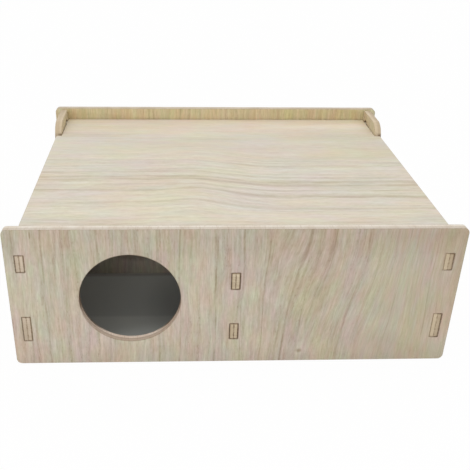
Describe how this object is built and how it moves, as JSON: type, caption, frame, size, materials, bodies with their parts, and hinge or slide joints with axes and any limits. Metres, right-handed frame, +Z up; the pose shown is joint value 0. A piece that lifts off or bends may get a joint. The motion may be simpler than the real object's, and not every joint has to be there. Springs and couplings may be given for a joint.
{
  "type": "hamster house",
  "caption": "Low laser-cut wooden hamster house with a round entrance, inner walls with round passages and a hinged lid that tips up between two rear ears.",
  "frame": {"origin": "on the ground, under the middle of the house", "axes": "+X to the right seen from the front, +Y from the front panel to the rear panel, +Z up"},
  "size_m": [0.266, 0.2116, 0.0974],
  "materials": {
    "front_board": "matt pale oak grain, upright",
    "rear_board": "matt pale oak grain, upright",
    "side_board": "matt pale oak grain, upright",
    "inner_board": "matt pale oak grain",
    "lid_board": "matt pale oak grain, from side to side"
  },
  "bodies": {
    "house": {"front_panel": "front_board", "rear_panel": "rear_board", "left_side_panel": "side_board", "right_side_panel": "side_board", "center_divider": "inner_board", "cross_wall": "inner_board"},
    "lid": {"lid": "lid_board"}
  },
  "joints": [
    {"name": "lid_hinge", "type": "hinge", "parent": "house", "child": "lid", "pos_m": [0, 0.09175, 0.0862], "axis": [-1, 0, 0], "range_deg": [0, 117]}
  ]
}
